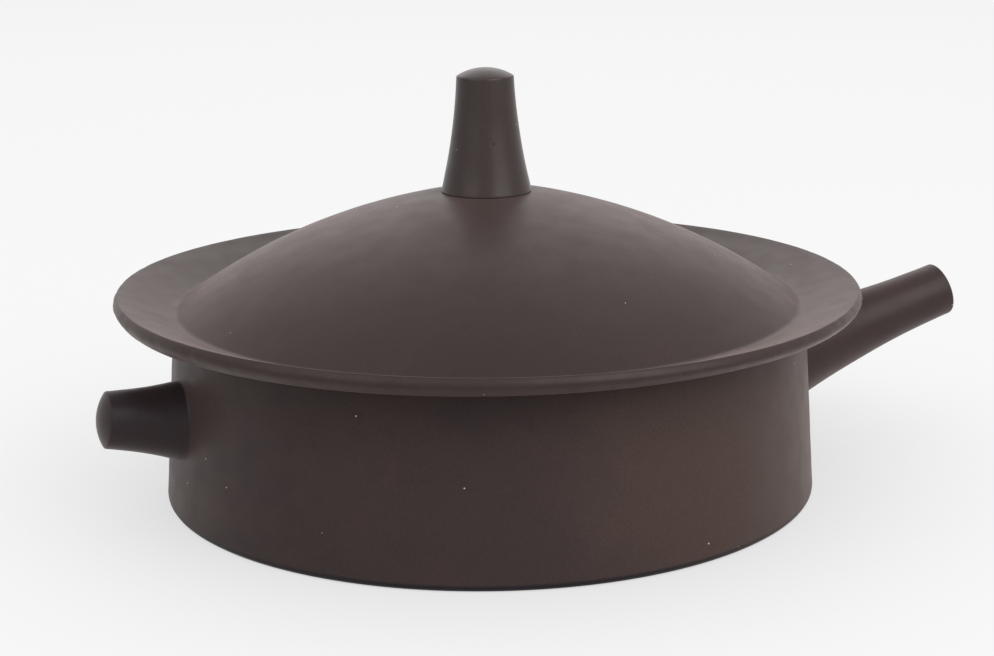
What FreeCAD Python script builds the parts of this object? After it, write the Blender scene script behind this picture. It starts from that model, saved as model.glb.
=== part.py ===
import FreeCAD, Part
import math
import os

# All sizes are millimetres and degrees. The pot stands on Z = 0, its axis is the Z axis,
# the spout points along +X and the stub handle along -X.

# Pot wall and floor
base_radius = 96.0
mouth_radius = 92.1
wall_height = 52.0
wall_thickness = 4.8
floor_thickness = 5.0
foot_rounding = 1.4
mouth_rounding = 0.6

# Lid shell: a dome that runs down into a valley over the wall, then an upturned brim and its lip
lid_thickness = 3.6
dome_rise = 32.6
dome_meridian_radius = 192.0
valley_inset = 0.9         # in from the outer edge of the wall
valley_height = 2.9        # above the seat
valley_fillet = 2.2
brim_width = 16.4          # from the valley out to the ridge
brim_rise = 5.35
ridge_rounding = 0.7
lip_width = 1.5            # from the ridge out to the lip, before it is rounded
lip_drop = 2.2
lip_undercut = 3.3         # from the lip back in to its underside
lip_depth = 2.6
lip_rounding = 0.6
lid_seat_margin = 0.5      # the flat seat runs on this far outside the wall
lid_seat_shelf = 1.5       # and this far inside the locating ring

# Locating ring under the lid
ring_clearance = 0.8
ring_thickness = 3.0
ring_depth = 8.0
ring_rounding = 0.8

# Knob
knob_root_radius = 13.2
knob_waist_radius = 9.95
knob_end_radius = 8.3
knob_length = 33.5
knob_cap_rise = 2.4
knob_wall = 4.2

# Stub handle
handle_root_radius = 11.4
handle_waist_radius = 9.25
handle_end_radius = 8.05
handle_length = 20.9
handle_cap_rise = 2.4
handle_wall = 4.0
handle_root_height = 29.0
handle_rise_angle = 6.75
handle_direction = 180.0   # around the pot from the spout

# Shared by the knob and the handle
stub_edge_rounding = 0.5
stub_cap_band = 2.0
vent_radius = 1.0          # lets air out of each hollow stem

# Spout
spout_root_radius = 15.2
spout_waist_radius = 10.2
spout_tip_radius = 8.4
spout_length = 63.4
spout_wall = 3.0
spout_root_height = 26.4
spout_rise_angle = 15.75
spout_tip_rounding = 0.5

# Strainer holes through the wall behind the spout: one in the middle and rings of six, twelve ...
strainer_hole_radius = 1.6
strainer_rings = 2
strainer_margin = 1.7      # between the outer holes and the inside of the spout

# Worked out from the sizes above
wall_lean = (base_radius - mouth_radius) / wall_height
joint_overlap = wall_thickness    # a joined piece runs on this far before it is cut to the wall
seam_direction = 90.0             # where round pieces have their seam
strainer_reach = spout_root_radius - spout_wall - strainer_margin - strainer_hole_radius
strainer_pitch = strainer_reach / strainer_rings

bore_at_mouth = mouth_radius - wall_thickness
bore_at_ring_foot = bore_at_mouth + wall_lean * ring_depth
ring_outer_radius = min(bore_at_mouth, bore_at_ring_foot) - ring_clearance
ring_inner_radius = ring_outer_radius - ring_thickness
lid_seat_z = wall_height
lid_seat_outer_radius = mouth_radius + lid_seat_margin
lid_seat_inner_radius = ring_inner_radius - lid_seat_shelf

valley_radius = mouth_radius - valley_inset
valley_z = lid_seat_z + valley_height
dome_top_z = valley_z + dome_rise
brim_ridge_radius = valley_radius + brim_width
brim_ridge_z = valley_z + brim_rise
lip_radius = brim_ridge_radius + lip_width
lip_z = brim_ridge_z - lip_drop
lip_underside_radius = lip_radius - lip_undercut
lip_underside_z = lip_z - lip_depth


def wall_outer_radius(z):
    """Outer radius of the tapered wall at the height z."""
    return base_radius - wall_lean * z


def wall_inner_radius(z):
    """Inner radius of the tapered wall at the height z."""
    return wall_outer_radius(z) - wall_thickness


def point(radius, z):
    """A point of a half section, in the XZ plane."""
    return FreeCAD.Vector(radius, 0, z)


def rounded_outline(corners):
    """Closed wire through corners of (radius, z, rounding), with tangent arcs at the corners."""
    count = len(corners)
    stops = []
    for i in range(count):
        here = point(corners[i][0], corners[i][1])
        rounding = corners[i][2]
        to_last = point(corners[i - 1][0], corners[i - 1][1]).sub(here).normalize()
        to_next = point(corners[(i + 1) % count][0], corners[(i + 1) % count][1]).sub(here).normalize()
        if rounding == 0:
            stops.append((here, here, here))
            continue
        half_angle = to_last.getAngle(to_next) / 2
        bisector = to_last.add(to_next).normalize()
        setback = rounding / math.tan(half_angle)
        centre = here.add(bisector * (rounding / math.sin(half_angle)))
        start = here.add(to_last * setback)
        end = here.add(to_next * setback)
        stops.append((start, centre.sub(bisector * rounding), end))
    edges = []
    for i in range(count):
        start, middle, end = stops[i]
        if corners[i][2] > 0:
            edges.append(Part.Arc(start, middle, end).toShape())
        edges.append(Part.LineSegment(end, stops[(i + 1) % count][0]).toShape())
    return Part.Wire(edges)


def revolve(wire):
    """Solid of revolution about the Z axis, its seam at the side, clear of spout, handle and holes."""
    solid = Part.Face(wire).revolve(FreeCAD.Vector(0, 0, 0), FreeCAD.Vector(0, 0, 1), 360)
    if solid.Volume < 0:
        solid.reverse()
    solid.rotate(FreeCAD.Vector(0, 0, 0), FreeCAD.Vector(0, 0, 1), seam_direction)
    return solid


def arc_middle(start, end, radius):
    """Middle of the arc of a given radius between two points, bulging away from the axis and up."""
    chord = end.sub(start)
    half = chord.Length / 2
    sagitta = radius - math.sqrt(radius * radius - half * half)
    outward = FreeCAD.Vector(-chord.z, 0, chord.x).normalize()
    return start.add(chord * 0.5).add(outward * sagitta)


def round_edge(solid, radius, z, rounding):
    """Rounds the circular edge of a revolved solid that lies nearest to a radius and a height."""
    best = None
    for edge in solid.Edges:
        if edge.Degenerated or not isinstance(edge.Curve, Part.Circle):
            continue
        miss = math.hypot(edge.Curve.Radius - radius, edge.Curve.Center.z - z)
        if best is None or miss < best[0]:
            best = (miss, edge)
    return solid.makeFillet(rounding, [best[1]])


def place_on_wall(solid, height, rise_angle, turn):
    """Lays a piece that stands on Z against the wall: root at the height, pointing outwards."""
    solid = solid.copy()
    solid.rotate(FreeCAD.Vector(0, 0, 0), FreeCAD.Vector(0, 1, 0), 90 - rise_angle)
    solid.translate(FreeCAD.Vector(wall_outer_radius(height), 0, height))
    solid.rotate(FreeCAD.Vector(0, 0, 0), FreeCAD.Vector(0, 0, 1), turn)
    return solid


def wall_blank():
    """The pot's outside as one solid block, used to cut what is joined onto the wall."""
    corners = [(0, 0, 0), (base_radius, 0, foot_rounding), (mouth_radius, wall_height, 0)]
    corners.append((0, wall_height, 0))
    return revolve(rounded_outline(corners))


def make_pot_floor():
    """Slab inside the foot of the wall."""
    corners = [(0, 0, 0), (wall_inner_radius(0), 0, 0)]
    corners.append((wall_inner_radius(floor_thickness), floor_thickness, 0))
    corners.append((0, floor_thickness, 0))
    return revolve(rounded_outline(corners))


def strainer_places():
    """Middles of the strainer holes: sideways and up from the middle of the spout's root."""
    places = [(0.0, 0.0)]
    sixth_of_turn = math.radians(60)
    for ring in range(1, strainer_rings + 1):
        for side in range(6):
            start = side * sixth_of_turn
            step = (side + 2) * sixth_of_turn
            for along in range(ring):
                across = ring * math.cos(start) + along * math.cos(step)
                up = ring * math.sin(start) + along * math.sin(step)
                places.append((strainer_pitch * across, strainer_pitch * up))
    return places


def make_pot_wall():
    """Tapered band with the strainer holes."""
    corners = [(base_radius, 0, foot_rounding), (mouth_radius, wall_height, mouth_rounding)]
    corners.append((wall_inner_radius(wall_height), wall_height, mouth_rounding))
    corners.append((wall_inner_radius(0), 0, 0))
    wall = revolve(rounded_outline(corners))
    drill_start = min(wall_inner_radius(0), wall_inner_radius(wall_height)) - wall_thickness
    drill_end = max(base_radius, mouth_radius)
    for across, up in strainer_places():
        foot = FreeCAD.Vector(drill_start, across, spout_root_height + up)
        forward = FreeCAD.Vector(1, 0, 0)
        wall = wall.cut(Part.makeCylinder(strainer_hole_radius, drill_end - drill_start, foot, forward))
    return wall


def flared_tube(root, waist, tip, length, overlap):
    """Round bar along Z whose side is one arc; it runs on past its root by the overlap."""
    side = Part.Arc(point(root, 0), point(waist, length / 2), point(tip, length)).toShape()
    edges = [side]
    edges.append(Part.LineSegment(point(tip, length), point(0, length)).toShape())
    edges.append(Part.LineSegment(point(0, length), point(0, -overlap)).toShape())
    edges.append(Part.LineSegment(point(0, -overlap), point(root, -overlap)).toShape())
    edges.append(Part.LineSegment(point(root, -overlap), point(root, 0)).toShape())
    return revolve(Part.Wire(edges))


def make_spout():
    """Hollow flared tube, cut to sit on the wall."""
    outside = flared_tube(spout_root_radius, spout_waist_radius, spout_tip_radius, spout_length, joint_overlap)
    outside = round_edge(outside, spout_tip_radius, spout_length, spout_tip_rounding)
    root_bore = spout_root_radius - spout_wall
    waist_bore = spout_waist_radius - spout_wall
    tip_bore = spout_tip_radius - spout_wall
    bore = flared_tube(root_bore, waist_bore, tip_bore, spout_length, joint_overlap + spout_wall)
    tube = outside.cut(bore)
    tube = place_on_wall(tube, spout_root_height, spout_rise_angle, 0)
    return tube.cut(wall_blank())


def tapered_stub(root, waist, end, length, cap_rise, wall, overlap):
    """Hollow tapered stem and its domed cap, both standing on Z."""
    side = Part.Arc(point(root, 0), point(waist, length / 2), point(end, length)).toShape()
    dome_sphere = (end * end + cap_rise * cap_rise) / (2 * cap_rise)
    dome_middle = arc_middle(point(0, length + cap_rise), point(end, length), dome_sphere)
    dome = Part.Arc(point(end, length), dome_middle, point(0, length + cap_rise)).toShape()
    edges = [side, dome]
    edges.append(Part.LineSegment(point(0, length + cap_rise), point(0, -overlap)).toShape())
    edges.append(Part.LineSegment(point(0, -overlap), point(root, -overlap)).toShape())
    if overlap > 0:
        edges.append(Part.LineSegment(point(root, -overlap), point(root, 0)).toShape())
    whole = revolve(Part.Wire(edges))
    whole = round_edge(whole, end, length, stub_edge_rounding)
    cap_foot = FreeCAD.Vector(0, 0, length - stub_cap_band)
    above = Part.makeCylinder(root, stub_cap_band + cap_rise, cap_foot)
    cap = whole.common(above)
    hollow = Part.makeCylinder(end - wall, length + overlap, FreeCAD.Vector(0, 0, -overlap))
    stem = whole.cut(above).cut(hollow)
    return stem, cap


def make_knob():
    """Stem and cap of the knob, on the flat land at the top of the dome."""
    stem, cap = tapered_stub(knob_root_radius, knob_waist_radius, knob_end_radius, knob_length,
                             knob_cap_rise, knob_wall, 0)
    stem.translate(FreeCAD.Vector(0, 0, dome_top_z))
    cap.translate(FreeCAD.Vector(0, 0, dome_top_z))
    return stem, cap


def make_handle():
    """Stem and cap of the stub handle, cut to sit on the wall opposite the spout."""
    stem, cap = tapered_stub(handle_root_radius, handle_waist_radius, handle_end_radius, handle_length,
                             handle_cap_rise, handle_wall, joint_overlap)
    # The vent opens on the underside, halfway along
    vent_start = FreeCAD.Vector(0, 0, handle_length / 2)
    stem = stem.cut(Part.makeCylinder(vent_radius, handle_root_radius, vent_start, FreeCAD.Vector(1, 0, 0)))
    stem = place_on_wall(stem, handle_root_height, handle_rise_angle, handle_direction)
    cap = place_on_wall(cap, handle_root_height, handle_rise_angle, handle_direction)
    return stem.cut(wall_blank()), cap


def make_lid_shell():
    """Dome and brim in one, before they are parted at the valley."""
    land = point(knob_root_radius, dome_top_z)
    valley = point(valley_radius, valley_z)
    crown = arc_middle(land, valley, dome_meridian_radius)
    # The inside of the dome runs parallel to the outside, a lid's thickness in
    inner_land = point(knob_root_radius, dome_top_z - lid_thickness)
    chord = valley.sub(land)
    inward = FreeCAD.Vector(chord.z, 0, -chord.x).normalize()
    inner_valley = valley.add(inward * lid_thickness)
    inner_crown = crown.add(inward * lid_thickness)
    inner_arc = Part.Arc(inner_land, inner_crown, inner_valley)
    # The seat's flat face starts where the step inside the dome comes down to it
    reach = Part.LineSegment(point(lid_seat_inner_radius, 0), point(lid_seat_inner_radius, dome_top_z))
    hit = inner_arc.intersect(reach)[0]
    step_top = FreeCAD.Vector(hit.X, 0, hit.Z)
    middle_parameter = (inner_arc.parameter(inner_land) + inner_arc.parameter(step_top)) / 2
    inner_middle = inner_arc.value(middle_parameter)

    seat_inner = point(lid_seat_inner_radius, lid_seat_z)
    seat_outer = point(lid_seat_outer_radius, lid_seat_z)
    under_lip = point(lip_underside_radius, lip_underside_z)
    lip = point(lip_radius, lip_z)
    ridge = point(brim_ridge_radius, brim_ridge_z)
    edges = [Part.LineSegment(point(0, dome_top_z), land).toShape()]
    edges.append(Part.Arc(land, crown, valley).toShape())
    rim = [valley, ridge, lip, under_lip, seat_outer, seat_inner, step_top]
    for start, end in zip(rim, rim[1:]):
        edges.append(Part.LineSegment(start, end).toShape())
    edges.append(Part.Arc(step_top, inner_middle, inner_land).toShape())
    edges.append(Part.LineSegment(inner_land, point(0, dome_top_z - lid_thickness)).toShape())
    edges.append(Part.LineSegment(point(0, dome_top_z - lid_thickness), point(0, dome_top_z)).toShape())
    shell = revolve(Part.Wire(edges))
    shell = round_edge(shell, valley.x, valley.z, valley_fillet)
    shell = round_edge(shell, ridge.x, ridge.z, ridge_rounding)
    shell = round_edge(shell, lip.x, lip.z, lip_rounding)
    return round_edge(shell, under_lip.x, under_lip.z, lip_rounding)


def make_lid():
    """Dome and brim, parted on a cylinder through the valley, with the knob's vent in the dome."""
    shell = make_lid_shell()
    core = Part.makeCylinder(valley_radius, dome_top_z)
    vent = Part.makeCylinder(vent_radius, dome_top_z)
    return shell.common(core).cut(vent), shell.cut(core)


def make_lid_ring():
    """Ring under the lid's seat that drops into the mouth with a clearance."""
    low = lid_seat_z - ring_depth
    corners = [(ring_outer_radius, low, ring_rounding), (ring_outer_radius, lid_seat_z, 0)]
    corners.append((ring_inner_radius, lid_seat_z, 0))
    corners.append((ring_inner_radius, low, ring_rounding))
    return revolve(rounded_outline(corners))


def main():
    os.makedirs("parts", exist_ok=True)
    knob_stem, knob_cap = make_knob()
    handle_stem, handle_cap = make_handle()
    lid_dome, lid_brim = make_lid()
    pieces = {
        "pot_floor": make_pot_floor(),
        "pot_wall": make_pot_wall(),
        "spout": make_spout(),
        "handle_stem": handle_stem,
        "handle_cap": handle_cap,
        "lid_dome": lid_dome,
        "lid_brim": lid_brim,
        "lid_ring": make_lid_ring(),
        "knob_stem": knob_stem,
        "knob_cap": knob_cap,
    }
    for name, shape in pieces.items():
        box = shape.BoundBox
        print(name, "solids", len(shape.Solids), "valid", shape.isValid(), "cm3", round(shape.Volume / 1000, 2),
              "x", round(box.XMin, 1), round(box.XMax, 1), "z", round(box.ZMin, 1), round(box.ZMax, 1))
        shape.exportStep("parts/" + name + ".step")


main()
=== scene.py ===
import math

import bmesh
import bpy
from mathutils import Matrix, Vector, noise


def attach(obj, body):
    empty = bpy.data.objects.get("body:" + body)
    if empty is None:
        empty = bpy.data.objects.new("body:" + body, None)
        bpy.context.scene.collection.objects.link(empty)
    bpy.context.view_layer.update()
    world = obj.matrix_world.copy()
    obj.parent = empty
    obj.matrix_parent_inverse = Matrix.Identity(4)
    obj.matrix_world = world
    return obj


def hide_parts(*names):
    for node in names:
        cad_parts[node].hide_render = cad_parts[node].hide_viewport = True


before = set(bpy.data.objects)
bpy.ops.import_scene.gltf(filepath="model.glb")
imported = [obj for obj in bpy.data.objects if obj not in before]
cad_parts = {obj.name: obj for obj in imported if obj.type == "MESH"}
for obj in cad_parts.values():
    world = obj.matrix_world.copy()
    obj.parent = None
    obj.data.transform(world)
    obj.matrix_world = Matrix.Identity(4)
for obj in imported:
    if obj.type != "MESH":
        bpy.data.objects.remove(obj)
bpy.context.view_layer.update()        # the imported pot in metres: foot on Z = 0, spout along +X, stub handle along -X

mm = 0.001
fullTurn = 2 * math.pi
weldReach = 0.0005       # millimetres: points closer than this are one point
sharpFrom = 50.0         # degrees between faces: edges from here on stay sharp


# Small tools for sections, meshes and nodes

def startSection(x, z):      # a half section is a wire in the XZ plane, drawn in millimetres
    bm = bmesh.new()
    return bm, bm.verts.new((x * mm, 0, z * mm))


def lineTo(bm, vert, x, z):
    new = bmesh.ops.extrude_vert_indiv(bm, verts=[vert])["verts"][0]
    new.co = (x * mm, 0, z * mm)
    return new


def arcTo(bm, vert, x, z, sag, steps):      # bulges by sag to the left of its way, or right if it is negative
    start, end = vert.co.copy(), Vector((x * mm, 0, z * mm))
    half = (end - start).length / 2
    left = Vector((start.z - end.z, 0, end.x - start.x)).normalized()
    depth = abs(sag) * mm
    radius = (half * half + depth * depth) / (2 * depth)
    side = math.copysign(1, sag)
    centre = (start + end) / 2 - left * side * (radius - depth)
    angle = side * 2 * math.asin(half / radius)
    spun = bmesh.ops.spin(bm, geom=[vert], cent=centre, axis=(0, 1, 0), dvec=(0, 0, 0), angle=angle,
                          steps=steps)
    return spun["geom_last"][0]


def roundCorner(bm, vert, rounding, segments=4):
    before, after = [edge.other_vert(vert).co - vert.co for edge in vert.link_edges]
    setback = rounding * mm / math.tan(before.angle(after) / 2)
    bmesh.ops.bevel(bm, geom=[vert], offset=setback, offset_type="OFFSET", segments=segments, profile=0.5,
                    affect="VERTICES", material=-1)


def refineSection(bm, longest):      # cuts long edges, so that the surface can wander a little afterwards
    for edge in list(bm.edges):
        cuts = int(edge.calc_length() / (longest * mm))
        if cuts > 0:
            bmesh.ops.subdivide_edges(bm, edges=[edge], cuts=cuts)


def turnSection(bm, steps, parts=8):      # turns one part and copies it round, much quicker than a whole turn
    part = fullTurn / parts
    bmesh.ops.spin(bm, geom=bm.verts[:] + bm.edges[:], cent=(0, 0, 0), axis=(0, 0, 1), dvec=(0, 0, 0),
                   angle=part, steps=steps // parts)
    bmesh.ops.spin(bm, geom=bm.verts[:] + bm.edges[:] + bm.faces[:], cent=(0, 0, 0), axis=(0, 0, 1),
                   dvec=(0, 0, 0), angle=(parts - 1) * part, steps=parts - 1, use_duplicate=True)
    bmesh.ops.remove_doubles(bm, verts=bm.verts, dist=weldReach * mm)
    bmesh.ops.recalc_face_normals(bm, faces=bm.faces)
    bm.normal_update()


def drill(piece, bm):      # cuts the solids in bm out of a piece
    mesh = bpy.data.meshes.new("drill")
    bm.to_mesh(mesh)
    bm.free()
    cutter = bpy.data.objects.new("drill", mesh)
    bpy.context.scene.collection.objects.link(cutter)
    cut = piece.modifiers.new("drill", "BOOLEAN")
    cut.object = cutter
    cut.operation = "DIFFERENCE"
    cut.solver = "EXACT"
    with bpy.context.temp_override(object=piece, active_object=piece):
        bpy.ops.object.modifier_apply(modifier=cut.name)
    bpy.data.objects.remove(cutter)


def addPiece(name, bm, material, body, replaced, drills=None):
    mesh = bpy.data.meshes.new(name)
    bm.to_mesh(mesh)
    bm.free()
    mesh.materials.append(material)
    piece = bpy.data.objects.new(name, mesh)
    bpy.context.scene.collection.objects.link(piece)
    if drills:
        drill(piece, drills)
    for polygon in mesh.polygons:
        polygon.use_smooth = True
    mesh.set_sharp_from_angle(angle=math.radians(sharpFrom))
    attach(piece, body)
    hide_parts(*replaced)
    print("piece", name, len(piece.data.polygons), "faces")


def moveTo(vert, radius, heading, height):      # millimetres and radians
    vert.co = (radius * mm * math.cos(heading), radius * mm * math.sin(heading), height * mm)


def cylinderPlace(vert):      # radius, heading and height, in millimetres and radians
    return math.hypot(vert.co.x, vert.co.y) / mm, math.atan2(vert.co.y, vert.co.x), vert.co.z / mm


def wander(vert, layers):      # soft unevenness of hand work; a layer is its width, depth either way and seed
    total = 0
    for across, depth, seed in layers:
        total += noise.noise(vert.co / (across * mm) + Vector((seed, seed, seed))) * depth
    return total


def fade(value, start, end):      # 0 at start, 1 at end, with soft ends; start may be the larger of the two
    share = min(1, max(0, (value - start) / (end - start)))
    return share * share * (3 - 2 * share)


def linear(hexText):      # sRGB hex to linear
    values = [int(hexText[i:i + 2], 16) / 255 for i in (1, 3, 5)]
    return tuple(v / 12.92 if v <= 0.04045 else ((v + 0.055) / 1.055) ** 2.4 for v in values) + (1.0,)


def addNode(tree, kind, inputs=None, **settings):
    node = tree.nodes.new(kind)
    for name, value in settings.items():
        setattr(node, name, value)
    for socket, value in (inputs or {}).items():
        if isinstance(value, bpy.types.NodeSocket):
            tree.links.new(value, node.inputs[socket])
        else:
            node.inputs[socket].default_value = value
    return node


# Fired clay: fine dark stoneware, thrown and turned, burnished a little and left unglazed. It gives the eye a
# nearly black brown that turns pale where it is seen at a flat angle, soft patches of redder and greyer brown
# from the kiln, faint lines from turning, a few grains of white quartz and a few pinholes. Lengths are in
# millimetres.

clayLook = {
    "deep": "#382d2c",            # most of the surface
    "warm": "#3d302e",            # where the kiln left it redder
    "warmEdge": (0.4, 0.65),      # values of the patches where that starts and is full
    "cool": "#342b2c",            # where it left it greyer
    "coolEdge": (0.45, 0.7),
    "coolShare": 0.6,
    "patch": 38.0,                # across
    "mottle": 7.0,
    "grain": 0.7,                 # finer in the real clay, drawn as coarse as it needs to show
    "grainShade": 0.1,            # lighter or darker by this share
    "grainDepth": 0.012,
    "turning": 1.1,               # between turning lines
    "turningDepth": 0.010,
    "quartz": "#e0d8ce",
    "quartzApart": 9.0,
    "quartzRadius": 0.26,
    "quartzCore": 0.6,            # share of that radius which has the full colour
    # painted shade inside the pinholes, which are pressed in by bump only
    "pinhole": "#120e0d",
    "pinholeApart": 12.0,
    "pinholeRadius": 0.3,
    "pinholeCore": 0.5,
    "pinholeDepth": 0.15,
    "pinholeShift": (0.31, 0.17, 0.23),      # metres, so that they don't follow the quartz
    "roughness": 0.46,
    "roughnessSpread": 0.04,      # burnished a little unevenly
    "specular": 0.16,
    "bloom": 0.19,                # the fine tooth of fired clay, pale and warm at a flat angle
    "bloomTint": "#ffddd7",
    "bloomRoughness": 0.5,
    "sideTone": "#473833",           # lighter and redder colour towards one side of the pot
    "sideToneHeading": -50.0,           # its heading in degrees
    "sideToneShare": 0.0,
    "sideToneEdge": (0.75, 1.2),
    "sideToneUneven": 0.5,
    "footPaintedShade": "#131118",       # painted shade in the bevel of the foot
    "footPaintedShadeHeight": 0.0,
    "footPaintedShadeFade": 1.6,         # it ends at this many times its height
}


def firedClay(name, changes=None):
    look = {**clayLook, **(changes or {})}
    material = bpy.data.materials.new(name)
    material.use_nodes = True
    tree = material.node_tree
    tree.nodes.clear()
    place = addNode(tree, "ShaderNodeTexCoord").outputs["Object"]

    # Patches and mottling of the ground colour
    patches = addNode(tree, "ShaderNodeTexNoise", {
        "Vector": place, "Scale": 1 / (look["patch"] * mm), "Detail": 2.0})
    mottle = addNode(tree, "ShaderNodeTexNoise", {
        "Vector": place, "Scale": 1 / (look["mottle"] * mm), "Detail": 3.0})
    warmth = addNode(tree, "ShaderNodeMapRange", {
        "Value": patches.outputs["Fac"], "From Min": look["warmEdge"][0], "From Max": look["warmEdge"][1]})
    coolness = addNode(tree, "ShaderNodeMapRange", {
        "Value": mottle.outputs["Fac"], "From Min": look["coolEdge"][0], "From Max": look["coolEdge"][1],
        "To Max": look["coolShare"]})
    ground = addNode(tree, "ShaderNodeMix", {
        "Factor": warmth.outputs[0], "A": linear(look["deep"]), "B": linear(look["warm"])}, data_type="RGBA")
    ground = addNode(tree, "ShaderNodeMix", {
        "Factor": coolness.outputs[0], "A": ground.outputs["Result"], "B": linear(look["cool"])},
        data_type="RGBA")

    # Height, radius and heading of the place, for the one-sided tone, the turning lines and the painted shade at the
    # foot
    split = addNode(tree, "ShaderNodeSeparateXYZ", {"Vector": place})
    flat = addNode(tree, "ShaderNodeCombineXYZ", {"X": split.outputs["X"], "Y": split.outputs["Y"]})
    radius = addNode(tree, "ShaderNodeVectorMath", {0: flat.outputs[0]}, operation="LENGTH")
    heading = addNode(tree, "ShaderNodeVectorMath", {0: flat.outputs[0]}, operation="NORMALIZE")

    # Lighter and redder towards one side, unevenly
    sideToneHeading = math.radians(look["sideToneHeading"])
    towards = addNode(tree, "ShaderNodeVectorMath", {
        0: heading.outputs[0], 1: (math.cos(sideToneHeading), math.sin(sideToneHeading), 0)}, operation="DOT_PRODUCT")
    uneven = addNode(tree, "ShaderNodeMath", {
        0: patches.outputs["Fac"], 1: look["sideToneUneven"], 2: towards.outputs["Value"]},
        operation="MULTIPLY_ADD")
    sideTone = addNode(tree, "ShaderNodeMapRange", {
        "Value": uneven.outputs[0], "From Min": look["sideToneEdge"][0], "From Max": look["sideToneEdge"][1],
        "To Max": look["sideToneShare"]}, interpolation_type="SMOOTHSTEP")
    ground = addNode(tree, "ShaderNodeMix", {
        "Factor": sideTone.outputs[0], "A": ground.outputs["Result"], "B": linear(look["sideTone"])},
        data_type="RGBA")

    # Fine grain of the clay
    grain = addNode(tree, "ShaderNodeTexNoise", {
        "Vector": place, "Scale": 1 / (look["grain"] * mm), "Detail": 2.0})
    grainShade = addNode(tree, "ShaderNodeMapRange", {
        "Value": grain.outputs["Fac"], "From Min": 0.3, "From Max": 0.7,
        "To Min": 1 - look["grainShade"], "To Max": 1 + look["grainShade"]})
    ground = addNode(tree, "ShaderNodeVectorMath", {
        0: ground.outputs["Result"], "Scale": grainShade.outputs[0]}, operation="SCALE")

    # Turning lines follow the radius and the height, and wander slowly round the pot
    around = addNode(tree, "ShaderNodeSeparateXYZ", {"Vector": heading.outputs[0]})
    perLine = 1 / (look["turning"] * mm)
    outwards = addNode(tree, "ShaderNodeMath", {0: radius.outputs["Value"], 1: perLine}, operation="MULTIPLY")
    upwards = addNode(tree, "ShaderNodeMath", {0: split.outputs["Z"], 1: perLine}, operation="MULTIPLY")
    ring = addNode(tree, "ShaderNodeCombineXYZ", {
        "X": outwards.outputs[0], "Y": around.outputs["X"], "Z": around.outputs["Y"]})
    turning = addNode(tree, "ShaderNodeTexNoise", {
        "Vector": ring.outputs[0], "W": upwards.outputs[0], "Scale": 1.0, "Detail": 2.0},
        noise_dimensions="4D")

    # Quartz grains and pinholes lie in the clay, so they show where the surface cuts them
    quartz = addNode(tree, "ShaderNodeTexVoronoi", {
        "Vector": place, "Scale": 1 / (look["quartzApart"] * mm)})
    quartzEdge = look["quartzRadius"] / look["quartzApart"]
    isQuartz = addNode(tree, "ShaderNodeMapRange", {
        "Value": quartz.outputs["Distance"], "From Min": quartzEdge,
        "From Max": quartzEdge * look["quartzCore"]})
    shifted = addNode(tree, "ShaderNodeVectorMath", {0: place, 1: look["pinholeShift"]}, operation="ADD")
    pinhole = addNode(tree, "ShaderNodeTexVoronoi", {
        "Vector": shifted.outputs[0], "Scale": 1 / (look["pinholeApart"] * mm)})
    pinholeEdge = look["pinholeRadius"] / look["pinholeApart"]
    isPinhole = addNode(tree, "ShaderNodeMapRange", {
        "Value": pinhole.outputs["Distance"], "From Min": pinholeEdge,
        "From Max": pinholeEdge * look["pinholeCore"]})
    colour = addNode(tree, "ShaderNodeMix", {
        "Factor": isQuartz.outputs[0], "A": ground.outputs[0], "B": linear(look["quartz"])},
        data_type="RGBA")
    # Painted shade: the colour darkens to near black in the lowest millimetres, in the bevel of the foot
    if look["footPaintedShadeHeight"] > 0:
        shadeTop = look["footPaintedShadeHeight"] * mm
        footPaintedShadeMask = addNode(tree, "ShaderNodeMapRange", {
            "Value": split.outputs["Z"], "From Min": shadeTop * look["footPaintedShadeFade"], "From Max": shadeTop})
        colour = addNode(tree, "ShaderNodeMix", {
            "Factor": footPaintedShadeMask.outputs[0], "A": colour.outputs["Result"], "B": linear(look["footPaintedShade"])},
            data_type="RGBA")
    # Pinholes: painted shade inside the pits, over the bump that presses them in
    colour = addNode(tree, "ShaderNodeMix", {
        "Factor": isPinhole.outputs[0], "A": colour.outputs["Result"], "B": linear(look["pinhole"])},
        data_type="RGBA")

    # Relief: turning lines, grain and pinholes
    relief = addNode(tree, "ShaderNodeMath", {
        0: turning.outputs["Fac"], 1: look["turningDepth"] * mm}, operation="MULTIPLY")
    relief = addNode(tree, "ShaderNodeMath", {
        0: grain.outputs["Fac"], 1: look["grainDepth"] * mm, 2: relief.outputs[0]},
        operation="MULTIPLY_ADD")
    relief = addNode(tree, "ShaderNodeMath", {
        0: isPinhole.outputs[0], 1: -look["pinholeDepth"] * mm, 2: relief.outputs[0]},
        operation="MULTIPLY_ADD")
    bump = addNode(tree, "ShaderNodeBump", {"Height": relief.outputs[0], "Strength": 1.0, "Distance": 1.0})
    roughness = addNode(tree, "ShaderNodeMapRange", {
        "Value": mottle.outputs["Fac"], "From Min": 0.3, "From Max": 0.7,
        "To Min": look["roughness"] - look["roughnessSpread"],
        "To Max": look["roughness"] + look["roughnessSpread"]})
    shader = addNode(tree, "ShaderNodeBsdfPrincipled", {
        "Base Color": colour.outputs["Result"],
        "Roughness": roughness.outputs[0],
        "Specular IOR Level": look["specular"],
        "Sheen Weight": look["bloom"],
        "Sheen Roughness": look["bloomRoughness"],
        "Sheen Tint": linear(look["bloomTint"]),
        "Normal": bump.outputs[0]})
    addNode(tree, "ShaderNodeOutputMaterial", {"Surface": shader.outputs[0]})
    return material


# The same clay on each piece, each with its own colour and finish

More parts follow.
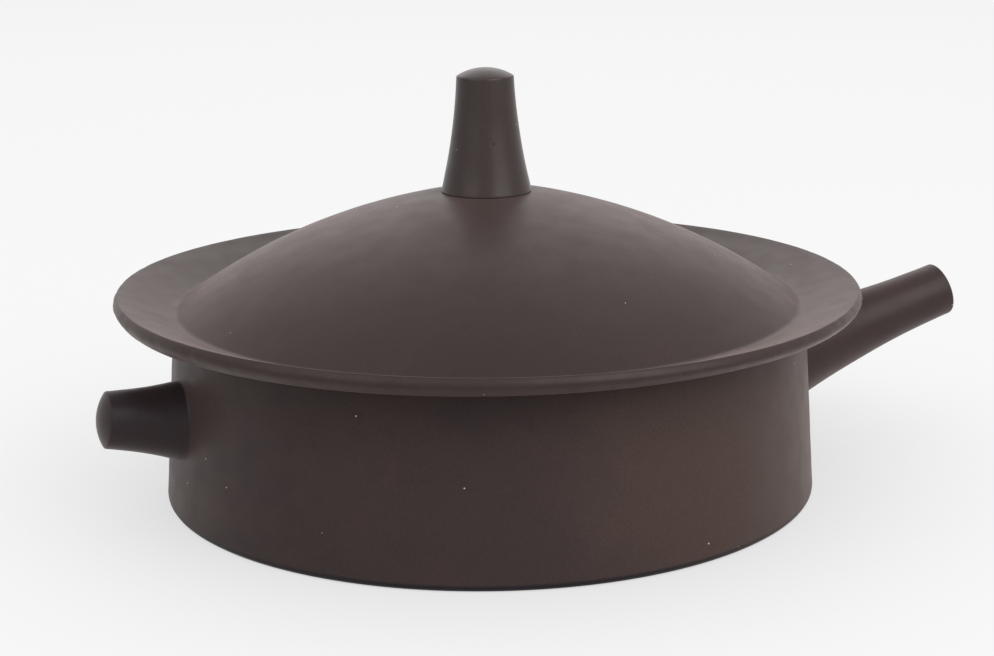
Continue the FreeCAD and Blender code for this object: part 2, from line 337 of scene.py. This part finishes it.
potClay = firedClay("firedClayPot", {      # the dullest, lighter and redder towards one side, with painted shade at the foot
    "sideToneShare": 0.8, "bloom": 0.12, "footPaintedShadeHeight": 1.3})
lidClay = firedClay("firedClayLid", {      # darker, and the palest at a flat angle
    "deep": "#342a29", "warm": "#382d2b", "cool": "#312928", "roughness": 0.41, "bloom": 0.21})
knobClay = firedClay("burnishedClayKnob", {      # rubbed the smoothest, with a soft gleam
    "deep": "#352a28", "warm": "#392d2a", "cool": "#322927", "roughness": 0.33, "specular": 0.3,
    "bloom": 0.05})
handleClayWithPaintedShade = firedClay("burnishedClayHandleWithPaintedShade", {      # darker and bluer, painted shade of the brim above it, and smooth from the hand
    "deep": "#31292d", "warm": "#352b2d", "cool": "#2c272c", "roughness": 0.4})
spoutClay = firedClay("firedClaySpout", {"roughness": 0.42})      # a little smoother than the wall
print("clays")


# Pot: one thrown shell with its floor, drilled through where the spout sits. From here on, a pair of values
# for a fade is where a mark of the hand is still nothing and where it is full.

pot = {
    "baseRadius": 96.0,
    "mouthRadius": 92.1,
    "height": 52.0,
    "wall": 4.8,
    "floor": 5.0,
    "footRounding": 1.4,
    "mouthRounding": 0.6,
    "insideRounding": 6.0,
    "turns": 360,
    "wander": [(26, 0.14, 0), (8, 0.05, 5)],      # unevenness of the outside
    "wanderUp": (1, 6),           # heights between which it starts
    "wanderDown": (52, 46),       # and ends
    "leaning": 0.8,               # the mouth was pulled out this much further on one side
    "leaningSide": -22.0,
    "fingerPitch": 6.5,           # throwing rings left inside the wall
    "fingerDepth": 0.16,
    "fingerFade": (52, 44),
    "floorPitch": 9.1,            # and on the floor
    "floorFadeIn": (84, 70),
    "floorFadeOut": (4, 16),
    "holeRadius": 1.6,            # strainer: one hole in the middle and two rings round it
    "holeRings": 2,
    "holePitch": 4.45,
    "holeHeight": 26.4,
    "drillRadius": 91.0,          # from the pot's axis to the middle of the drills
    "drillLength": 16.0,
}
wallLean = (pot["baseRadius"] - pot["mouthRadius"]) / pot["height"]      # inwards for each millimetre up


def straightRadius(height):      # outside of the wall as drawn, in millimetres
    return pot["baseRadius"] - wallLean * height


def wallRadius(height, heading):      # and as it leans
    side = max(0, math.cos(heading - math.radians(pot["leaningSide"])))
    return straightRadius(height) + pot["leaning"] * side * side * height / pot["height"]


def strainerDrills():      # rows of a hexagon, with the longest in the middle
    bm = bmesh.new()
    lying = Matrix.Rotation(math.pi / 2, 4, "Y")
    rings = pot["holeRings"]
    for row in range(-rings, rings + 1):
        count = 2 * rings + 1 - abs(row)
        for index in range(count):
            across = (index - (count - 1) / 2) * pot["holePitch"]
            up = pot["holeHeight"] + row * pot["holePitch"] * math.sin(math.radians(60))
            place = Matrix.Translation((pot["drillRadius"] * mm, across * mm, up * mm)) @ lying
            bmesh.ops.create_cone(bm, cap_ends=True, segments=32, radius1=pot["holeRadius"] * mm,
                                  radius2=pot["holeRadius"] * mm, depth=pot["drillLength"] * mm, matrix=place)
    return bm


def makePot():
    bm, axis = startSection(0, 0)
    foot = lineTo(bm, axis, pot["baseRadius"], 0)
    mouth = lineTo(bm, foot, pot["mouthRadius"], pot["height"])
    mouthInside = lineTo(bm, mouth, pot["mouthRadius"] - pot["wall"], pot["height"])
    corner = lineTo(bm, mouthInside, straightRadius(pot["floor"]) - pot["wall"], pot["floor"])
    lineTo(bm, corner, 0, pot["floor"])
    roundCorner(bm, foot, pot["footRounding"])
    roundCorner(bm, mouth, pot["mouthRounding"])
    roundCorner(bm, mouthInside, pot["mouthRounding"])
    roundCorner(bm, corner, pot["insideRounding"], segments=6)
    refineSection(bm, longest=1.5)
    turnSection(bm, pot["turns"])
    for vert in bm.verts:
        radius, heading, height = cylinderPlace(vert)
        straight = straightRadius(height)
        through = fade(radius, straight - pot["wall"], straight)      # 0 inside the wall, 1 outside
        if through > 0.001:
            rough = fade(height, *pot["wanderUp"]) * fade(height, *pot["wanderDown"]) * through
            out = (wallRadius(height, heading) - straight) * through + wander(vert, pot["wander"]) * rough
            moveTo(vert, radius + out, heading, height)
        elif height > pot["floor"] + pot["insideRounding"]:
            ring = 0.5 + 0.5 * math.sin(fullTurn * height / pot["fingerPitch"] + heading)
            moveTo(vert, radius - pot["fingerDepth"] * ring * fade(height, *pot["fingerFade"]), heading, height)
        elif height > pot["floor"] - 0.01 and radius < pot["floorFadeIn"][0]:
            ring = math.sin(fullTurn * radius / pot["floorPitch"] + heading)
            ring *= fade(radius, *pot["floorFadeIn"]) * fade(radius, *pot["floorFadeOut"])
            moveTo(vert, radius, heading, height + pot["fingerDepth"] * ring)
    addPiece("potShell", bm, potClay, "pot", ["pot_wall", "pot_floor"], strainerDrills())


makePot()


# Lid: a dome running down to a valley over the wall, then the upturned brim with its ridge and lip. Points are
# radius and height.

lid = {
    "vent": 1.0,                  # radius of the hole into the knob
    "landRadius": 13.2,           # flat that the knob stands on
    "top": 87.5,
    "thickness": 3.6,
    "domeSag": 4.71,
    "valley": (91.2, 54.9),
    "ridge": (107.6, 60.25),      # highest line of the brim
    "lip": (108.86, 58.0),        # outermost line, below it
    "lipSag": 0.25,
    "underLip": (105.9, 55.45),
    "underSag": 0.45,
    "seat": (92.6, 82.0, 52.0),   # outer radius, inner radius and height
    "insideStart": 56.85,
    "insideSag": 3.603,
    "valleyRounding": 2.2,
    "ridgeRounding": 0.35,
    "turns": 480,
    "wander": [(30, 0.16, 2), (9, 0.05, 7)],      # unevenness of the dome
    "wanderOut": (15, 24),        # radii between which it starts
    "wanderIn": (93, 84),         # and ends
    "fingerPitch": 7.0,           # throwing rings left inside
    "fingerDepth": 0.15,
    "fingerFade": (81, 76),
    "wear": [(3.5, 0.3, 11)],     # the lip is rubbed away a little in places
    "wearFade": (106, 108.5),
    "tilt": 0.85,                 # the brim was lifted off the wheel a little out of true: high on this side
    "tiltSide": -138.0,
    "saddle": 0.36,               # and up above spout and handle
    "saddleSide": 176.0,
    "tiltFade": (93, 104),        # radii and heights between which the brim starts to tilt
    "tiltRise": (55, 59),
}


def makeLid():
    inside = lid["top"] - lid["thickness"]
    bm, start = startSection(lid["vent"], inside)
    ventEdge = lineTo(bm, start, lid["vent"], lid["top"])
    land = lineTo(bm, ventEdge, lid["landRadius"], lid["top"])
    valley = arcTo(bm, land, *lid["valley"], lid["domeSag"], steps=56)
    ridge = lineTo(bm, valley, *lid["ridge"])
    lip = arcTo(bm, ridge, *lid["lip"], lid["lipSag"], steps=4)
    underLip = arcTo(bm, lip, *lid["underLip"], lid["underSag"], steps=5)
    outer, inner, seatHeight = lid["seat"]
    seatOuter = lineTo(bm, underLip, outer, seatHeight)
    seatInner = lineTo(bm, seatOuter, inner, seatHeight)
    step = lineTo(bm, seatInner, inner, lid["insideStart"])
    domeTop = arcTo(bm, step, lid["landRadius"], inside, -lid["insideSag"], steps=28)
    lineTo(bm, domeTop, lid["vent"], inside)
    roundCorner(bm, valley, lid["valleyRounding"])
    roundCorner(bm, ridge, lid["ridgeRounding"])
    refineSection(bm, longest=1.6)
    turnSection(bm, lid["turns"])
    for vert in bm.verts:
        radius, heading, height = cylinderPlace(vert)
        tilt = lid["tilt"] * math.cos(heading - math.radians(lid["tiltSide"]))
        tilt += lid["saddle"] * math.cos(2 * (heading - math.radians(lid["saddleSide"])))
        tilt *= fade(radius, *lid["tiltFade"]) * fade(height, *lid["tiltRise"])
        soft = wander(vert, lid["wander"]) * fade(radius, *lid["wanderOut"]) * fade(radius, *lid["wanderIn"])
        rings = 0
        if vert.normal.z < 0 and radius < inner - 0.1:
            rings = lid["fingerDepth"] * math.sin(fullTurn * radius / lid["fingerPitch"] + heading)
            rings *= fade(radius, *lid["wanderOut"]) * fade(radius, *lid["fingerFade"])
        worn = max(0, wander(vert, lid["wear"])) * fade(radius, *lid["wearFade"])
        moveTo(vert, radius - worn, heading, height + tilt + soft + rings)
    addPiece("lidShell", bm, lidClay, "lid", ["lid_dome", "lid_brim"])


makeLid()


# Locating ring under the lid, which drops into the mouth

lidRing = {
    "outer": 86.5,
    "inner": 83.5,
    "low": 44.0,
    "top": 52.0,
    "rounding": 0.8,              # of its lower edges
    "turns": 240,
}


def makeLidRing():
    bm, first = startSection(lidRing["outer"], lidRing["low"])
    topOuter = lineTo(bm, first, lidRing["outer"], lidRing["top"])
    topInner = lineTo(bm, topOuter, lidRing["inner"], lidRing["top"])
    lowInner = lineTo(bm, topInner, lidRing["inner"], lidRing["low"])
    last = lineTo(bm, lowInner, lidRing["outer"], lidRing["low"])
    bmesh.ops.remove_doubles(bm, verts=[first, last], dist=weldReach * mm)
    middle = (lidRing["low"] + lidRing["top"]) / 2 * mm
    for vert in [vert for vert in bm.verts if vert.co.z < middle]:
        roundCorner(bm, vert, lidRing["rounding"])
    refineSection(bm, longest=1.5)
    turnSection(bm, lidRing["turns"])
    addPiece("lidRing", bm, lidClay, "locating_ring", ["lid_ring"])


makeLidRing()


# Flared side shared by the knob, the handle and the spout: one arc through root, waist and end

def flareCircle(shape):      # centre and radius of that arc
    root, waist, end, length = [shape[key] for key in ("root", "waist", "end", "length")]
    out = (root * root + end * end - 2 * waist * waist + length * length / 2) / (2 * (root + end - 2 * waist))
    up = (waist * waist - root * root + length * length / 4 - 2 * out * (waist - root)) / length
    return out, up, math.hypot(root - out, up)


def flareRadius(shape, height):
    out, up, radius = flareCircle(shape)
    return out - math.sqrt(radius * radius - (height - up) ** 2)


def flareSag(shape):
    half = math.hypot(shape["root"] - shape["end"], shape["length"]) / 2
    radius = flareCircle(shape)[2]
    return radius - math.sqrt(radius * radius - half * half)


# Knob: a hollow stem with a domed end, luted onto the land of the lid

knob = {
    "root": 13.2,
    "waist": 9.95,
    "end": 8.3,
    "length": 33.5,
    "capRise": 2.4,
    "capSag": 0.612,
    "hollow": 4.1,
    "capBand": 2.0,               # thickness of the cap at its edge
    "edgeRounding": 0.5,
    "groove": 0.35,               # dark line where the stem was luted on
    "turns": 200,
    "wander": [(11, 0.12, 3)],
    "wanderUp": (1, 6),           # heights above the land
    "wanderOut": (6, 8),          # radii, so that the hollow stays true
}


def makeKnob():
    foot, end = lid["top"], lid["top"] + knob["length"]
    bm, top = startSection(0, end + knob["capRise"])
    edge = arcTo(bm, top, knob["end"], end, knob["capSag"], steps=10)
    root = arcTo(bm, edge, knob["root"], foot, -flareSag(knob), steps=36)
    under = lineTo(bm, root, knob["root"] - knob["groove"], foot)
    hollow = lineTo(bm, under, knob["hollow"], foot)
    hollowTop = lineTo(bm, hollow, knob["hollow"], end - knob["capBand"])
    lineTo(bm, hollowTop, 0, end - knob["capBand"])
    roundCorner(bm, edge, knob["edgeRounding"])
    roundCorner(bm, root, knob["groove"])
    refineSection(bm, longest=1.5)
    turnSection(bm, knob["turns"])
    for vert in bm.verts:
        radius, heading, height = cylinderPlace(vert)
        if radius > knob["wanderOut"][0]:
            soft = wander(vert, knob["wander"])
            soft *= fade(height - foot, *knob["wanderUp"]) * fade(radius, *knob["wanderOut"])
            moveTo(vert, radius + soft, heading, height)
    addPiece("knobShell", bm, knobClay, "lid", ["knob_stem", "knob_cap"])


makeKnob()


# Spout and stub handle: drawn along Z, then laid against the wall with a small bead of luted clay at the root

spout = {
    "root": 15.2,
    "waist": 10.2,
    "end": 8.4,
    "length": 63.4,
    "bore": 3.0,                  # in from the outside
    "endRounding": 0.5,
    "luting": 1.5,                # radius of the bead
    "sink": 0.3,                  # of the root into the wall
    "height": 26.4,               # where its axis leaves the wall
    "rise": 15.75,                # degrees
    "heading": 0.0,
    "turns": 144,
}

handle = {
    "root": 11.4,
    "waist": 9.25,
    "end": 8.05,
    "length": 20.9,
    "capRise": 2.4,
    "capSag": 0.613,
    "hollow": 4.05,
    "capBand": 2.0,
    "edgeRounding": 0.5,
    "luting": 0.9,
    "sink": 0.3,
    "height": 29.0,
    "rise": 6.75,
    "heading": 180.0,
    "vent": 1.0,                  # radius of the hole down into the hollow
    "turns": 144,
}

handWork = {                      # of both
    "wander": [(12, 0.12, 9)],
    "fromRoot": (0, 5),           # distances from the root and from the end between which it starts
    "fromEnd": (0.5, 5),
}


def wallPlace(shape):      # from drawn upright to laid against the wall, in millimetres
    turn = Matrix.Rotation(math.radians(shape["heading"]), 4, "Z")
    tip = Matrix.Rotation(math.radians(90 - shape["rise"]), 4, "Y")
    return turn @ Matrix.Translation((straightRadius(shape["height"]), 0, shape["height"])) @ tip


def along(place, radius, angle, height):
    return place @ Vector((radius * math.cos(angle), radius * math.sin(angle), height))


def rootHeight(place, radiusAt, angle, sink):      # how far along a line of the side leaves the wall
    low, high = -12.0, 16.0      # millimetres, well inside the wall and well outside
    for halving in range(26):
        middle = (low + high) / 2
        point = along(place, radiusAt(middle), angle, middle)
        heading = math.atan2(point.y, point.x)
        if math.hypot(point.x, point.y) < wallRadius(point.z, heading) - sink:
            low = middle
        else:
            high = middle
    return low


def layOnWall(bm, shape, innerRadius, innerLength):
    place = wallPlace(shape)
    length, bead = shape["length"], shape["luting"]
    endFade = [length - distance for distance in handWork["fromEnd"]]
    near, little = 0.02, 0.1      # millimetres: still on the inner side, and a step along the side
    outerRoots, innerRoots = {}, {}

    def side(height):
        return flareRadius(shape, height)

    for vert in bm.verts:
        radius, angle, height = cylinderPlace(vert)
        key = round(angle, 4)
        if radius < innerRadius(height) + near and height <= innerLength + near:
            if key not in innerRoots:
                innerRoots[key] = rootHeight(place, innerRadius, angle, shape["sink"])
            root = innerRoots[key]
            laid = root + height * (innerLength - root) / innerLength
            vert.co = along(place, radius - innerRadius(height) + innerRadius(laid), angle, laid) * mm
            continue
        if key not in outerRoots:
            outerRoots[key] = rootHeight(place, side, angle, shape["sink"])
        root = outerRoots[key]
        if height < 0:      # the bead turns from the side onto the wall
            start = along(place, side(root), angle, root)
            up = (along(place, side(root + little), angle, root + little) - start).normalized()
            heading = math.atan2(start.y, start.x)
            wallOut = Vector((math.cos(heading), math.sin(heading), wallLean)).normalized()
            away = place.to_3x3() @ Vector((math.cos(angle), math.sin(angle), 0))
            away = (away - wallOut * away.dot(wallOut)).normalized()
            bend = -height / bead * math.pi / 2
            vert.co = (start + up * bead * (1 - math.sin(bend)) + away * bead * (1 - math.cos(bend))) * mm
            continue
        laid = height
        if height < length:
            laid = root + bead + height * (length - root - bead) / length
        offset = radius - side(min(height, length))
        soft = wander(vert, handWork["wander"]) * fade(height, *handWork["fromRoot"]) * fade(height, *endFade)
        vert.co = along(place, side(min(laid, length)) + offset + soft, angle, laid) * mm
    bmesh.ops.recalc_face_normals(bm, faces=bm.faces)


def makeSpout():
    length = spout["length"]
    bm, bead = startSection(spout["root"], -spout["luting"])
    root = lineTo(bm, bead, spout["root"], 0)
    edge = arcTo(bm, root, spout["end"], length, flareSag(spout), steps=44)
    boreEdge = lineTo(bm, edge, spout["end"] - spout["bore"], length)
    boreRoot = arcTo(bm, boreEdge, spout["root"] - spout["bore"], 0, -flareSag(spout), steps=32)
    lineTo(bm, boreRoot, spout["root"], -spout["luting"])
    roundCorner(bm, edge, spout["endRounding"])
    roundCorner(bm, boreEdge, spout["endRounding"])
    bmesh.ops.subdivide_edges(bm, edges=[root.link_edges[0]], cuts=5)
    turnSection(bm, spout["turns"])
    layOnWall(bm, spout, lambda height: flareRadius(spout, height) - spout["bore"], length)
    addPiece("spoutShell", bm, spoutClay, "pot", ["spout"])


def handleDrill():      # the vent, from below into the hollow
    bm = bmesh.new()
    down = wallPlace(handle) @ Matrix.Translation((handle["root"] / 2, 0, handle["length"] / 2))
    down = down @ Matrix.Rotation(math.pi / 2, 4, "Y")
    down.translation = down.translation * mm
    bmesh.ops.create_cone(bm, cap_ends=True, segments=24, radius1=handle["vent"] * mm,
                          radius2=handle["vent"] * mm, depth=handle["root"] * mm, matrix=down)
    return bm


def makeHandle():
    length = handle["length"]
    bm, top = startSection(0, length + handle["capRise"])
    edge = arcTo(bm, top, handle["end"], length, handle["capSag"], steps=10)
    root = arcTo(bm, edge, handle["root"], 0, -flareSag(handle), steps=22)
    bead = lineTo(bm, root, handle["root"], -handle["luting"])
    hollow = lineTo(bm, bead, handle["hollow"], 0)
    hollowTop = lineTo(bm, hollow, handle["hollow"], length - handle["capBand"])
    lineTo(bm, hollowTop, 0, length - handle["capBand"])
    roundCorner(bm, edge, handle["edgeRounding"])
    bmesh.ops.subdivide_edges(bm, edges=[bead.link_edges[0], hollowTop.link_edges[0]], cuts=6)
    turnSection(bm, handle["turns"])
    layOnWall(bm, handle, lambda height: handle["hollow"], length - handle["capBand"])
    addPiece("handleShell", bm, handleClayWithPaintedShade, "pot", ["handle_stem", "handle_cap"], handleDrill())


makeSpout()
makeHandle()


# Studio: a pale floor that runs out to the horizon, three soft lamps round the pot, a dim light from all sides,
# and white all round for the camera and for what shines

studio = {
    "floorRadius": 12.0,          # metres
    "floorGap": 0.0001,           # metres that the floor lies below the foot, so that they aren't one plane
    "white": 0.92,                # what the camera sees of the sky
    "floorWhite": 1.0,            # and of the floor, before the paper takes its share
    "paper": "#e6e6e5",
    "paperShare": 0.12,           # share of the floor that takes the lamps' light and shadows
    "paintedContactShadow": 0.34,              # painted contact shadow: how far the floor's white glow darkens where the pot closes it in
    "contactReach": 0.3,          # metres
    "sky": 0.08,
    "lampAim": 0.05,              # height in metres that the lamps point at
    "lamps": {                    # heading round the pot and rise in degrees, then metres and watts
        "frontRightLamp": {"heading": -66.0, "rise": 38.0, "distance": 1.3, "size": 1.0, "power": 13.4},
        "frontLeftLamp": {"heading": 204.0, "rise": 38.0, "distance": 1.3, "size": 1.0, "power": 5.8},
        "backLamp": {"heading": 69.0, "rise": 38.0, "distance": 1.3, "size": 1.0, "power": 2.4},
    },
}


def seenAsBackground(tree):      # 1 for rays that should see the white background
    path = addNode(tree, "ShaderNodeLightPath")
    seen = addNode(tree, "ShaderNodeMath", {
        0: path.outputs["Is Camera Ray"], 1: path.outputs["Is Glossy Ray"]}, operation="ADD")
    return addNode(tree, "ShaderNodeMath", {
        0: seen.outputs[0], 1: path.outputs["Is Transmission Ray"]},
        operation="ADD", use_clamp=True).outputs[0]


def makeFloor():
    bm = bmesh.new()
    bmesh.ops.create_circle(bm, cap_ends=True, cap_tris=False, segments=96, radius=studio["floorRadius"])
    bmesh.ops.translate(bm, verts=bm.verts, vec=(0, 0, -studio["floorGap"]))
    mesh = bpy.data.meshes.new("floor")
    bm.to_mesh(mesh)
    bm.free()
    floor = bpy.data.objects.new("floor", mesh)
    bpy.context.scene.collection.objects.link(floor)
    material = bpy.data.materials.new("matteWhitePaper")      # paper which keeps the lamps' soft shadow, mixed with a white glow that carries a painted contact shadow
    material.use_nodes = True
    tree = material.node_tree
    tree.nodes.clear()
    paper = addNode(tree, "ShaderNodeBsdfDiffuse", {"Color": linear(studio["paper"])})
    # Painted shadow: ambient occlusion darkens the glow near the pot
    closed = addNode(tree, "ShaderNodeAmbientOcclusion", {"Distance": studio["contactReach"]}, samples=4)
    strength = addNode(tree, "ShaderNodeMapRange", {
        "Value": closed.outputs["AO"], "To Min": studio["floorWhite"] * (1 - studio["paintedContactShadow"]),
        "To Max": studio["floorWhite"]})
    glow = addNode(tree, "ShaderNodeEmission", {"Color": (1, 1, 1, 1), "Strength": strength.outputs[0]})
    share = addNode(tree, "ShaderNodeMath", {
        0: seenAsBackground(tree), 1: 1 - studio["paperShare"]}, operation="MULTIPLY")
    both = addNode(tree, "ShaderNodeMixShader", {0: share.outputs[0], 1: paper.outputs[0], 2: glow.outputs[0]})
    addNode(tree, "ShaderNodeOutputMaterial", {"Surface": both.outputs[0]})
    mesh.materials.append(material)


def makeSky():
    world = bpy.data.worlds.new("softStudio")
    bpy.context.scene.world = world
    world.use_nodes = True
    tree = world.node_tree
    tree.nodes.clear()
    light = addNode(tree, "ShaderNodeBackground", {"Color": (1, 1, 1, 1), "Strength": studio["sky"]})
    white = addNode(tree, "ShaderNodeBackground", {"Color": (1, 1, 1, 1), "Strength": studio["white"]})
    both = addNode(tree, "ShaderNodeMixShader", {
        0: seenAsBackground(tree), 1: light.outputs[0], 2: white.outputs[0]})
    addNode(tree, "ShaderNodeOutputWorld", {"Surface": both.outputs[0]})


def addLamp(name, heading, rise, distance, size, power):
    lamp = bpy.data.lights.new(name, "AREA")
    lamp.shape = "SQUARE"
    lamp.size = size
    lamp.energy = power
    heading, rise = math.radians(heading), math.radians(rise)
    away = Vector((math.cos(rise) * math.cos(heading), math.cos(rise) * math.sin(heading), math.sin(rise)))
    holder = bpy.data.objects.new(name, lamp)
    holder.location = away * distance + Vector((0, 0, studio["lampAim"]))
    holder.rotation_euler = (-away).to_track_quat("-Z", "Y").to_euler()
    bpy.context.scene.collection.objects.link(holder)


makeFloor()
makeSky()
for lampName, lampPlace in studio["lamps"].items():
    addLamp(lampName, **lampPlace)
print("studio")


# Camera, at the photographed angle

cameraView = {
    "azimuth": -21.0,             # degrees round the pot; 0 looks along +Y
    "elevation": 14.12,
    "roll": -0.695,
    "targetHeight": 46.23,        # millimetres, as the next two
    "sideways": 2.56,
    "distance": 630.9,
    "lens": 77.23,
    "sensor": 36.0,
}


def makeCamera():
    azimuth, elevation, roll = [math.radians(cameraView[key]) for key in ("azimuth", "elevation", "roll")]
    turn = Matrix.Rotation(azimuth, 4, "Z") @ Matrix.Rotation(math.pi / 2 - elevation, 4, "X")
    turn = turn @ Matrix.Rotation(roll, 4, "Z")
    right = Vector((math.cos(azimuth), math.sin(azimuth), 0))
    back = turn.to_3x3() @ Vector((0, 0, 1))
    place = Vector((0, 0, cameraView["targetHeight"])) + right * cameraView["sideways"]
    place = (place + back * cameraView["distance"]) * mm
    data = bpy.data.cameras.new("photoView")
    data.lens = cameraView["lens"]
    data.sensor_width = cameraView["sensor"]
    camera = bpy.data.objects.new("photoView", data)
    camera.matrix_world = Matrix.Translation(place) @ turn
    bpy.context.scene.collection.objects.link(camera)
    bpy.context.scene.camera = camera


makeCamera()
bpy.context.scene.view_settings.view_transform = "Standard"
print("camera")
